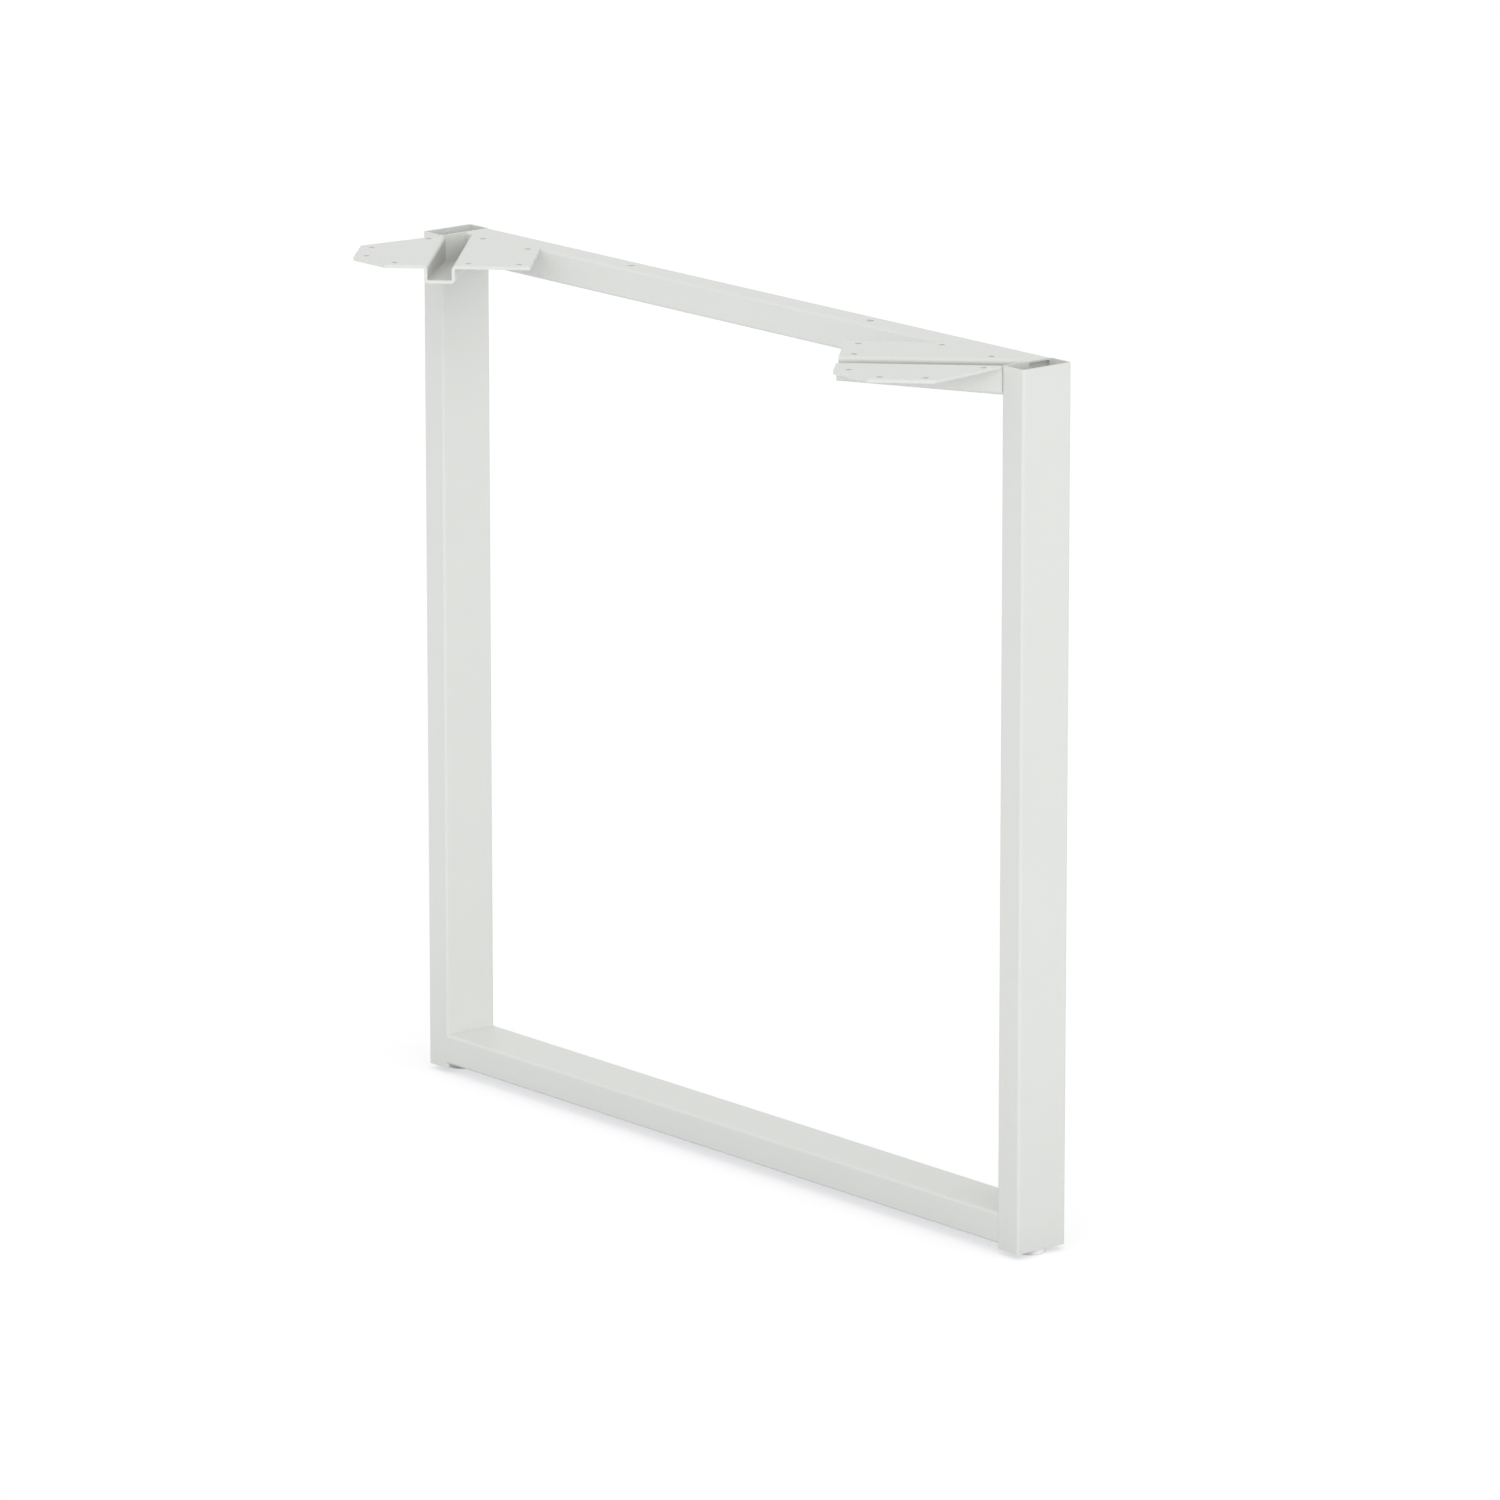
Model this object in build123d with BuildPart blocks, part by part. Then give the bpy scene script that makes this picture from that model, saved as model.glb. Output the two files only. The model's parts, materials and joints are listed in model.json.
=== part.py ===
"""O-shaped desk leg: a welded frame of steel tube with two folded corner brackets and two levelling glides.

z = 0 is the underside of the worktop, x = 0 the middle of the leg, and y = 0 the line of screws along the
top rail. The brackets reach to the front, towards -y. All sizes are in millimetres.
"""

import os
from math import sqrt

from build123d import *

os.makedirs("parts", exist_ok=True)

# Overall sizes, from the floor to the worktop and over both uprights
overall_height = 723.9
overall_width = 754.0

# Rectangular tube of the uprights and of the bottom rail, which lies flat
tube_width = 25.4
tube_depth = 50.8
tube_wall = 1.65
tube_inner_radius = 0.85

# Square tube of the top rail, of the same wall, its two screw holes, and the plates that close its ends
top_rail_side = 25.4
rail_plate_setback = 3.5
rail_screw_spacing = 300.0
rail_screw_diameter = 5.5

# The uprights run on below the bottom rail, so that the rail clears the floor
foot_overhang = 4.0

# Tubes and sheet are coped over the rounded corners that they meet, and stop short of a knife edge there
cope_relief = 0.8

# Corner bracket: a hat section, folded from one sheet, whose channel leaves the frame at 45 degrees
sheet = 2.66
bend_radius = 1.0
channel_width = 25.4
channel_depth_tip = 15.0
channel_depth_root = 24.0
bracket_reach = 130.0
flange_width = 62.0
flange_root = 48.8
flange_corner_cut = 29.5
flange_corner_radius = 1.5

# Screw holes of the bracket, in rows along the flange edges and along the frame's own directions
screw_hole_diameter = 5.2
edge_inset = 10.0
tip_inset = 11.5
front_row_inset = 13.0
rail_row_inset = 7.6
outer_row_inset = 3.0
first_hole_reach = 16.4

# Levelling glide: a threaded plug in the foot of the upright, a stud, and a base moulded on the stud's head
insert_height = 20.0
insert_plate = 4.0
insert_wall = 2.0
insert_boss_diameter = 14.0
stud_diameter = 8.0
stud_length = 25.0
stud_tip_chamfer = 0.8
thread_clearance = 0.05
head_across_flats = 13.0
head_height = 2.4
head_cover = 1.1
glide_base_height = 4.5
glide_base_diameter = 24.0
glide_base_chamfer = 0.6

# Places that follow from those sizes
tube_radius = tube_inner_radius + tube_wall
inside_width = tube_width - 2 * tube_wall
inside_depth = tube_depth - 2 * tube_wall
inside_rail = top_rail_side - 2 * tube_wall
foot_z = glide_base_height - overall_height
inner_x = overall_width / 2 - tube_width
upright_x = overall_width / 2 - tube_width / 2
back_y = top_rail_side / 2
front_y = back_y - tube_depth
upright_y = (front_y + back_y) / 2
bottom_rail_z = foot_z + foot_overhang + tube_width / 2
top_rail_z = -top_rail_side / 2
cope_length = tube_radius - cope_relief
rail_end_x = inner_x + tube_wall
rail_plate_x = rail_end_x - rail_plate_setback
foot = (upright_x, upright_y, foot_z)

# Solid outlines of both uprights and of the top rail, which cope the pieces that are welded to them
with BuildPart() as upright_outline:
    with BuildSketch(Plane.XY.offset(foot_z)):
        with Locations((upright_x, upright_y), (-upright_x, upright_y)):
            RectangleRounded(tube_width, tube_depth, tube_radius)
    extrude(amount=-foot_z)

with BuildPart() as top_rail_outline:
    with BuildSketch(Plane.YZ):
        with Locations((0, top_rail_z)):
            RectangleRounded(top_rail_side, top_rail_side, tube_radius)
    extrude(amount=rail_end_x, both=True)

# Uprights, open at the top, with the inner wall notched there for the end of the top rail
with BuildPart() as right_upright:
    with BuildSketch(Plane.XY.offset(foot_z)):
        with Locations((upright_x, upright_y)):
            RectangleRounded(tube_width, tube_depth, tube_radius)
            RectangleRounded(inside_width, inside_depth, tube_inner_radius, mode=Mode.SUBTRACT)
    extrude(amount=-foot_z)
    add(top_rail_outline.part, mode=Mode.SUBTRACT)
    with BuildSketch(Plane.YZ.offset(inner_x)):
        with Locations((back_y, 0)):
            Rectangle(top_rail_side - cope_length, tube_radius, align=(Align.MAX, Align.MAX))
    extrude(amount=tube_wall, mode=Mode.SUBTRACT)

with BuildPart() as left_upright:
    mirror(right_upright.part, about=Plane.YZ)

# Bottom rail, flush with both faces of the uprights
with BuildPart() as bottom_rail:
    with BuildSketch(Plane.YZ):
        with Locations((upright_y, bottom_rail_z)):
            RectangleRounded(tube_depth, tube_width, tube_radius)
            RectangleRounded(inside_depth, inside_width, tube_inner_radius, mode=Mode.SUBTRACT)
    extrude(amount=inner_x + cope_length, both=True)
    add(upright_outline.part, mode=Mode.SUBTRACT)

# Top rail, flush with the backs and the tops of the uprights, its ends flush with their inside
with BuildPart() as top_rail:
    with BuildSketch(Plane.YZ):
        with Locations((0, top_rail_z)):
            RectangleRounded(top_rail_side, top_rail_side, tube_radius)
            RectangleRounded(inside_rail, inside_rail, tube_inner_radius, mode=Mode.SUBTRACT)
    extrude(amount=rail_end_x, both=True)
    with BuildSketch(Plane.YZ.offset(rail_plate_x - tube_wall), Plane.YZ.offset(-rail_plate_x)):
        with Locations((0, top_rail_z)):
            RectangleRounded(inside_rail, inside_rail, tube_inner_radius)
    extrude(amount=tube_wall)
    with GridLocations(rail_screw_spacing, 0, 2, 1):
        Hole(rail_screw_diameter / 2)

# Plan of the right bracket. Its corner is the upright's inner front corner, its x runs along the channel
# to the tip, its y runs towards the top rail, and it faces down.
bracket_plan = Plane(origin=(inner_x, front_y, 0), x_dir=(-1, -1, 0), z_dir=(0, 0, -1))
channel_slope = (channel_depth_root - channel_depth_tip) / bracket_reach
flange_end = channel_width + flange_width
rail_edge = sqrt(2) * (tube_depth - top_rail_side + cope_length)
front_edge = bracket_reach - flange_corner_cut + flange_width

# Rows of holes: on the tip row x is the same, on the side rows y is the same, on the rail row y - x,
# on the front row x - y and on the outer row x + y
tip_row = bracket_reach - tip_inset
side_row = edge_inset - flange_width
near_row = channel_width + edge_inset
far_row = flange_end - edge_inset
rail_row = sqrt(2) * (tube_depth - top_rail_side - rail_row_inset)
front_row = front_edge - sqrt(2) * front_row_inset
outer_row = sqrt(2) * outer_row_inset
first_hole = sqrt(2) * first_hole_reach
bracket_holes = [
    ((outer_row + first_hole) / 2, (outer_row - first_hole) / 2),
    (outer_row - side_row, side_row),
    (front_row + side_row, side_row),
    (tip_row, tip_row - front_row),
    (near_row - rail_row, near_row),
    (far_row - rail_row, far_row),
    (tip_row, far_row),
    (tip_row, near_row),
]

# The sheet is drawn across the channel from beyond the tip to behind the corner of the frame, then cut to
# its plan. Flanges and upper bends run level, while the floor and lower bends fall towards the upright.
outer_bend = bend_radius + sheet
fold_height = channel_depth_tip / 2
overrun = channel_depth_root
start_depth = channel_depth_tip - channel_slope * overrun
end_depth = channel_depth_root + channel_slope * overrun
fold_start = bracket_plan.from_local_coords((bracket_reach + overrun, 0, 0))
floor_start = bracket_plan.from_local_coords((bracket_reach + overrun, 0, start_depth))
floor_end = bracket_plan.from_local_coords((-overrun, 0, end_depth))
fold_plane = Plane(fold_start, x_dir=bracket_plan.y_dir, z_dir=-bracket_plan.x_dir)
floor_plane = Plane(floor_start, x_dir=bracket_plan.y_dir, z_dir=floor_end - floor_start)

with BuildPart() as right_bracket:
    with BuildSketch(floor_plane):
        with BuildLine():
            FilletPolyline(
                (sheet, 2 * channel_depth_root),
                (sheet, sheet),
                (channel_width - sheet, sheet),
                (channel_width - sheet, 2 * channel_depth_root),
                radius=bend_radius,
            )
            offset(amount=sheet, side=Side.RIGHT)
        make_face()
    extrude(amount=(floor_end - floor_start).length)
    split(bisect_by=Plane.XY.offset(-fold_height), keep=Keep.BOTTOM)
    with BuildSketch(fold_plane):
        with BuildLine():
            FilletPolyline((-flange_width, 0), (sheet, 0), (sheet, -fold_height), radius=outer_bend)
            offset(amount=sheet, side=Side.RIGHT)
        make_face()
        mirror(about=Plane.YZ.offset(channel_width / 2))
    extrude(amount=bracket_reach + 2 * overrun)
    with BuildSketch(bracket_plan):
        with BuildLine():
            FilletPolyline(
                (0, 0),
                (flange_root, -flange_width),
                (bracket_reach - flange_corner_cut, -flange_width),
                (bracket_reach, flange_corner_cut - flange_width),
                (bracket_reach, flange_end),
                (flange_end - rail_edge, flange_end),
                (-rail_edge / 2, rail_edge / 2),
                radius=[0, *[flange_corner_radius] * 4, 0, 0],
                close=True,
            )
        make_face()
    extrude(amount=2 * channel_depth_root, mode=Mode.INTERSECT)
    add(top_rail_outline.part, mode=Mode.SUBTRACT)
    with BuildSketch(bracket_plan):
        with Locations(*bracket_holes):
            Circle(screw_hole_diameter / 2)
    extrude(amount=sheet, mode=Mode.SUBTRACT)

with BuildPart() as left_bracket:
    mirror(right_bracket.part, about=Plane.YZ)

# Moulded plug, flush with the foot of the upright, with the threaded boss in its middle
with BuildPart() as right_glide_insert:
    with BuildSketch(Plane.XY.offset(foot_z)):
        with Locations((upright_x, upright_y)):
            RectangleRounded(inside_width, inside_depth, tube_inner_radius)
    extrude(amount=insert_height)
    with BuildSketch(Plane.XY.offset(foot_z + insert_plate)):
        with Locations((upright_x, upright_y)):
            Rectangle(inside_width - 2 * insert_wall, inside_depth - 2 * insert_wall)
            Circle(insert_boss_diameter / 2, mode=Mode.SUBTRACT)
    extrude(amount=insert_height, mode=Mode.SUBTRACT)
    with Locations(foot):
        Hole(stud_diameter / 2 + thread_clearance)

with BuildPart() as left_glide_insert:
    mirror(right_glide_insert.part, about=Plane.YZ)

# Stud with the hexagon head that the base is moulded on
with BuildPart() as right_glide_stud:
    with BuildSketch(Plane.XY.offset(foot_z - head_cover)):
        with Locations((upright_x, upright_y)):
            RegularPolygon(head_across_flats / 2, 6, major_radius=False)
    extrude(amount=-head_height)
    with BuildSketch(Plane.XY.offset(foot_z - head_cover)):
        with Locations((upright_x, upright_y)):
            Circle(stud_diameter / 2)
    extrude(amount=head_cover + stud_length)
    chamfer(faces().sort_by(Axis.Z)[-1].edges(), stud_tip_chamfer)

with BuildPart() as left_glide_stud:
    mirror(right_glide_stud.part, about=Plane.YZ)

# Base of the glide, against the plug when it is screwed right in
with BuildPart() as right_glide_base:
    with BuildSketch(Plane.XY.offset(foot_z)):
        with Locations((upright_x, upright_y)):
            Circle(glide_base_diameter / 2)
    extrude(amount=-glide_base_height)
    chamfer(faces().sort_by(Axis.Z)[0].edges(), glide_base_chamfer)
    add(right_glide_stud.part, mode=Mode.SUBTRACT)

with BuildPart() as left_glide_base:
    mirror(right_glide_base.part, about=Plane.YZ)

pieces = {
    "left_upright": left_upright,
    "right_upright": right_upright,
    "bottom_rail": bottom_rail,
    "top_rail": top_rail,
    "left_bracket": left_bracket,
    "right_bracket": right_bracket,
    "left_glide_insert": left_glide_insert,
    "right_glide_insert": right_glide_insert,
    "left_glide_stud": left_glide_stud,
    "right_glide_stud": right_glide_stud,
    "left_glide_base": left_glide_base,
    "right_glide_base": right_glide_base,
}
for name, piece in pieces.items():
    piece.part.label = name
    export_step(piece.part, f"parts/{name}.step")
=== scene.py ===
"""Dresses the welded O-shaped desk leg: satin powder coat, weld beads, levelling glides and a pale studio."""

import json
import math

import bmesh
import bpy
from bpy.props import FloatProperty, FloatVectorProperty, PointerProperty
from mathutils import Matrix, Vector


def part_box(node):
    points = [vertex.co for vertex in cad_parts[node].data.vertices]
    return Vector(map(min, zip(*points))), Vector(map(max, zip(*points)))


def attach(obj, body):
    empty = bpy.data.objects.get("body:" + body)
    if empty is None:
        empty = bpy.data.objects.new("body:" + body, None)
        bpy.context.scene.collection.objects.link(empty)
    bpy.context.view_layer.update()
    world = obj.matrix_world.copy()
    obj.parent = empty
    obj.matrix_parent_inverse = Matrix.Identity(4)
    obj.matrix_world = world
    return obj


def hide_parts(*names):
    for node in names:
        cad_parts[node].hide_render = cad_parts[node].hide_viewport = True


bl_info = {
    "name": "O-Shaped Desk Leg",
    "version": (1, 0, 0),
    "blender": (4, 5, 0),
    "location": "View3D > Sidebar > Desk Leg",
    "description": "Finishes a welded desk leg with powder coat, weld beads, glides and a pale stage",
    "category": "Object",
}

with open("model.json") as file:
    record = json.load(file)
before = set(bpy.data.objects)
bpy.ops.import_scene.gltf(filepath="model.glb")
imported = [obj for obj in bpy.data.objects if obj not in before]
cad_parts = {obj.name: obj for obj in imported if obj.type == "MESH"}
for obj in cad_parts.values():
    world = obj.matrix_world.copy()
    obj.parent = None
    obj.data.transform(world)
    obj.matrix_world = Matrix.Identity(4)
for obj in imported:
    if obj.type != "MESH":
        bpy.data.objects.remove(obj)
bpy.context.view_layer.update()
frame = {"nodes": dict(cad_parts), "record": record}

MM = 0.001

# The leg's own places, in metres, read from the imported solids
upright_low, upright_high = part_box("right_upright")
base_low, base_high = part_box("right_glide_base")
top_rail_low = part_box("top_rail")[0]
bottom_rail_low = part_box("bottom_rail")[0]
stud_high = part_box("right_glide_stud")[1]
inner_x = upright_low.x
upright_x = (upright_low.x + upright_high.x) / 2
upright_y = (upright_low.y + upright_high.y) / 2
foot_z = upright_low.z
floor_z = base_low.z

# Sizes of the solids that their boxes don't give
TUBE_WALL = 1.65 * MM
SHEET = 2.66 * MM
CHANNEL_WIDTH = 25.4 * MM
STUD_RADIUS = 4.0 * MM
HEAD_ACROSS_FLATS = 13.0 * MM
HEAD_COVER = 1.1 * MM
HEAD_HEIGHT = 2.4 * MM
TIP_CHAMFER = 0.8 * MM

# Ends of the weld beads on the right half: in x along the flange, and in y across the upright
FLANGE_WELD = (262 * MM, 338 * MM)
CHANNEL_WELD = (-34 * MM, -15 * MM)
RAIL_WELD = (-8 * MM, 9 * MM)
FOOT_WELD = (-30 * MM, 5 * MM)
# The channel's floor slopes, and its bead with it
CHANNEL_UNDER = (-24.4 * MM, -25.2 * MM)

# The tube's own seam: its two ends, and its long low waves
SEAM_TOP = -3 * MM
SEAM_OVER_FOOT = 22 * MM
SEAM_PITCH = 8 * MM
SEAM_WAVE = 0.1

# Glide base: rounding of its upper edge, and the hollow under it, in depth and in shares of the rim's radius
BASE_LIP = 0.5 * MM
HOLLOW_DEPTH = 0.35 * MM
HOLLOW_FLAT, HOLLOW_EDGE = 0.58, 0.62

SENSOR_WIDTH = 36.0


def linear(code):
    """Linear RGB of an sRGB hex colour."""
    parts = [int(code[i:i + 2], 16) / 255 for i in (1, 3, 5)]
    return tuple(p / 12.92 if p <= 0.04045 else ((p + 0.055) / 1.055) ** 2.4 for p in parts)


class LegFinish(bpy.types.PropertyGroup):
    """Colours and surfaces of the leg."""

    paint: FloatVectorProperty(
        name="Paint", description="Colour of the powder coat", subtype="COLOR", size=3, min=0, max=1,
        default=linear("#E1E3DF"))
    paint_roughness: FloatProperty(
        name="Paint Roughness", description="Gloss of the powder coat", subtype="FACTOR", min=0, max=1,
        default=0.44)
    peel_width: FloatProperty(
        name="Orange Peel", description="Width of the waves in the powder coat", unit="LENGTH", min=0.0005,
        default=3.0 * MM)
    overspray: FloatProperty(
        name="Overspray", description="How far the coat reaches into the open top of an upright",
        unit="LENGTH", min=0.001, default=140.0 * MM)
    # Painted shade: a darker paint colour that stands for the shade deep in the holes and channels
    painted_shade_coat: FloatVectorProperty(
        name="Painted Shade Coat", description="Powder coat where it is thin, in the holes and channels",
        subtype="COLOR", size=3, min=0, max=1, default=linear("#C8C9C5"))
    steel: FloatVectorProperty(
        name="Bare Steel", description="Uncoated steel inside the tubes", subtype="COLOR", size=3, min=0,
        max=1, default=linear("#77736E"))
    zinc: FloatVectorProperty(
        name="Zinc", description="Plating of the threaded studs", subtype="COLOR", size=3, min=0, max=1,
        default=linear("#C6CACE"))
    plug: FloatVectorProperty(
        name="Plug", description="Plastic of the plugs in the feet", subtype="COLOR", size=3, min=0, max=1,
        default=linear("#26272A"))
    base: FloatVectorProperty(
        name="Glide Base", description="Nylon of the glide bases", subtype="COLOR", size=3, min=0, max=1,
        default=linear("#F7F7F5"))


class LegDetails(bpy.types.PropertyGroup):
    """Sizes of what is added to the solids."""

    bead_radius: FloatProperty(
        name="Bead Radius", description="Half the width of a weld bead", unit="LENGTH", min=0.0005,
        default=2.2 * MM)
    ripple_pitch: FloatProperty(
        name="Ripple Pitch", description="Distance between two ripples of a weld bead", unit="LENGTH",
        min=0.0005, default=1.8 * MM)
    ripple_depth: FloatProperty(
        name="Ripple Depth", description="Share of the bead's radius that a ripple takes", subtype="FACTOR",
        min=0, max=1, default=0.16)
    seam_radius: FloatProperty(
        name="Seam Radius", description="Half the width of the welded seam inside an upright", unit="LENGTH",
        min=0.0002, default=0.9 * MM)
    thread_pitch: FloatProperty(
        name="Thread Pitch", description="Rise of the stud's thread in one turn", unit="LENGTH", min=0.0005,
        default=1.25 * MM)
    thread_depth: FloatProperty(
        name="Thread Depth", description="Height of the thread's ridge", unit="LENGTH", min=0.0001,
        default=0.68 * MM)
    # Painted shade: the darker ring in each screw hole stands for the shade in the hole
    shade_ring: FloatProperty(
        name="Hole Shade Ring", description="Thickness of the coat in the screw holes", unit="LENGTH",
        min=0.00005, default=0.15 * MM)
    base_edge: FloatProperty(
        name="Base Edge", description="Rounding of the glide base's lower edge", unit="LENGTH", min=0.0001,
        default=0.6 * MM)


class LegStage(bpy.types.PropertyGroup):
    """Floor, light and camera."""

    floor_size: FloatProperty(
        name="Floor Size", description="Side of the floor", unit="LENGTH", min=1, default=24.0)
    floor: FloatVectorProperty(
        name="Floor", description="Colour of the floor", subtype="COLOR", size=3, min=0, max=1,
        default=linear("#F1F1F3"))
    # Painted shade: seen only by the light, the floor is darker round the feet, which darkens the leg's lower
    # parts
    floor_painted_shade: FloatVectorProperty(
        name="Floor Painted Shade", description="Colour of the floor round the feet", subtype="COLOR", size=3,
        min=0, max=1, default=linear("#CDCDCF"))
    floor_spread: FloatProperty(
        name="Floor Spread", description="Where the darker floor round the feet ends", unit="LENGTH", min=0.1,
        default=0.30)
    shadow_depth: FloatVectorProperty(
        name="Shadow Depth", description="How dark the shadow shows on the floor, in red, green and blue",
        size=3, min=0, max=1, default=(0.44, 0.44, 0.405))
    room_light: FloatProperty(
        name="Room Light", description="Even light from all round", min=0, default=0.705)
    soft_light: FloatProperty(
        name="Soft Light", description="Broad light from one side, added to the room's", min=0, default=0.92)
    soft_azimuth: FloatProperty(
        name="Soft Light Azimuth", description="Where the middle of the broad light lies, round the leg",
        subtype="ANGLE", default=math.radians(57.0))
    under_light: FloatProperty(
        name="Light from Below", description="Share of the light below the horizon, for glides screwed out",
        subtype="FACTOR", min=0, max=1, default=0.45)
    camera_azimuth: FloatProperty(
        name="Camera Azimuth", description="Camera's place round the leg", subtype="ANGLE",
        default=math.radians(49.83))
    camera_elevation: FloatProperty(
        name="Camera Elevation", description="Camera's height over the horizon", subtype="ANGLE",
        default=math.radians(13.73))
    camera_distance: FloatProperty(
        name="Camera Distance", description="From the aim to the camera", unit="LENGTH", min=0.1,
        default=8.464)
    camera_lens: FloatProperty(
        name="Camera Lens", description="Focal length on a 36 mm sensor", unit="CAMERA", min=1,
        default=248.19)
    camera_aim: FloatVectorProperty(
        name="Camera Aim", description="Point at the middle of the picture", subtype="TRANSLATION", size=3,
        default=(0.0010, 0.0, -0.3811))


def add_node(tree, kind, values=None, **settings):
    """Adds a node with its settings. Values fill its inputs, by name or number, or link them to a socket."""
    node = tree.nodes.new(kind)
    for name, value in settings.items():
        setattr(node, name, value)
    for name, value in (values or {}).items():
        if isinstance(value, bpy.types.NodeSocket):
            tree.links.new(value, node.inputs[name])
        else:
            node.inputs[name].default_value = value
    return node


def new_material(name, **constants):
    """A material with its tree and shader. The constants go on the shader's own sockets."""
    material = bpy.data.materials.new(name)
    material.use_nodes = True
    shader = material.node_tree.nodes["Principled BSDF"]
    for socket, value in constants.items():
        shader.inputs[socket.replace("_", " ")].default_value = value
    return material, material.node_tree, shader


def shade(colour, factor):
    """A colour made lighter or darker, with its alpha."""
    return (*(min(1.0, c * factor) for c in colour), 1.0)


def bare_in_bore(tree, place, overspray):
    """1 on the inside of the open uprights, below the reach of the spray, and 0 on the rest of them."""
    x, y, z = add_node(tree, "ShaderNodeSeparateXYZ", {"Vector": place}).outputs
    half_width = (upright_high.x - upright_low.x) / 2 - TUBE_WALL
    half_depth = (upright_high.y - upright_low.y) / 2 - TUBE_WALL
    # Takes in the tube's inner faces, but not its outer ones
    skin = TUBE_WALL / 3
    # Down to here the coat is whole
    whole = overspray / 5
    side = add_node(tree, "ShaderNodeMath", {0: x}, operation="ABSOLUTE").outputs[0]
    reach = []
    for coordinate, middle, half in ((side, upright_x, half_width), (y, upright_y, half_depth)):
        offset = add_node(tree, "ShaderNodeMath", {0: coordinate, 1: middle}, operation="SUBTRACT")
        off = add_node(tree, "ShaderNodeMath", {0: offset.outputs[0]}, operation="ABSOLUTE")
        reach.append(add_node(tree, "ShaderNodeMath", {0: off.outputs[0], 1: half}, operation="SUBTRACT"))
    outside = add_node(tree, "ShaderNodeMath", {0: reach[0].outputs[0], 1: reach[1].outputs[0]},
                       operation="MAXIMUM")
    inside = add_node(tree, "ShaderNodeMath", {0: outside.outputs[0], 1: skin}, operation="LESS_THAN")
    depth = add_node(tree, "ShaderNodeMapRange", {"Value": z, "From Min": -whole, "From Max": -overspray})
    return add_node(tree, "ShaderNodeMath", {0: inside.outputs[0], 1: depth.outputs["Result"]},
                    operation="MULTIPLY").outputs[0]


def painted_shade_in_channel(tree, place):
    """1 deep inside the channels of the brackets, where the colour is darkened as painted shade, and 0 on the
    rest of them.
    """
    # Heights between which the painted shade comes in
    unshaded_above, painted_shade_below = -1 * MM, -5 * MM
    # The normal of the cut edge leans forwards and inwards by more than the first, and that of the floor's
    # underside points down by more than the second
    cut_lean, under_tilt = -1.3, -0.5
    x, y, z = add_node(tree, "ShaderNodeSeparateXYZ", {"Vector": place}).outputs
    side = add_node(tree, "ShaderNodeMath", {0: x}, operation="ABSOLUTE").outputs[0]
    # The channel leaves the inner front corner of the upright at 45 degrees, so its width runs along y - x
    skew = add_node(tree, "ShaderNodeMath", {0: y, 1: side}, operation="SUBTRACT")
    middle = upright_low.y - inner_x + CHANNEL_WIDTH / math.sqrt(2)
    offset = add_node(tree, "ShaderNodeMath", {0: skew.outputs[0], 1: middle}, operation="SUBTRACT")
    off = add_node(tree, "ShaderNodeMath", {0: offset.outputs[0]}, operation="ABSOLUTE")
    inside = add_node(tree, "ShaderNodeMath", {
        0: off.outputs[0], 1: (CHANNEL_WIDTH - SHEET) / math.sqrt(2)}, operation="LESS_THAN")
    painted_shade = add_node(tree, "ShaderNodeMapRange", {"Value": z, "From Min": unshaded_above, "From Max": painted_shade_below})
    # The cut edge and the underside are in the open, so they get no painted shade
    normal = add_node(tree, "ShaderNodeNewGeometry").outputs["Normal"]
    out, back, up = add_node(tree, "ShaderNodeSeparateXYZ", {"Vector": normal}).outputs
    hand = add_node(tree, "ShaderNodeMath", {0: x}, operation="SIGN")
    lean = add_node(tree, "ShaderNodeMath", {0: hand.outputs[0], 1: out, 2: back}, operation="MULTIPLY_ADD")
    uncut = add_node(tree, "ShaderNodeMath", {0: lean.outputs[0], 1: cut_lean}, operation="GREATER_THAN")
    above = add_node(tree, "ShaderNodeMath", {0: up, 1: under_tilt}, operation="GREATER_THAN")
    share = painted_shade.outputs["Result"]
    for mask in (inside, uncut, above):
        share = add_node(tree, "ShaderNodeMath", {0: share, 1: mask.outputs[0]},
                         operation="MULTIPLY").outputs[0]
    return share


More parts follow.
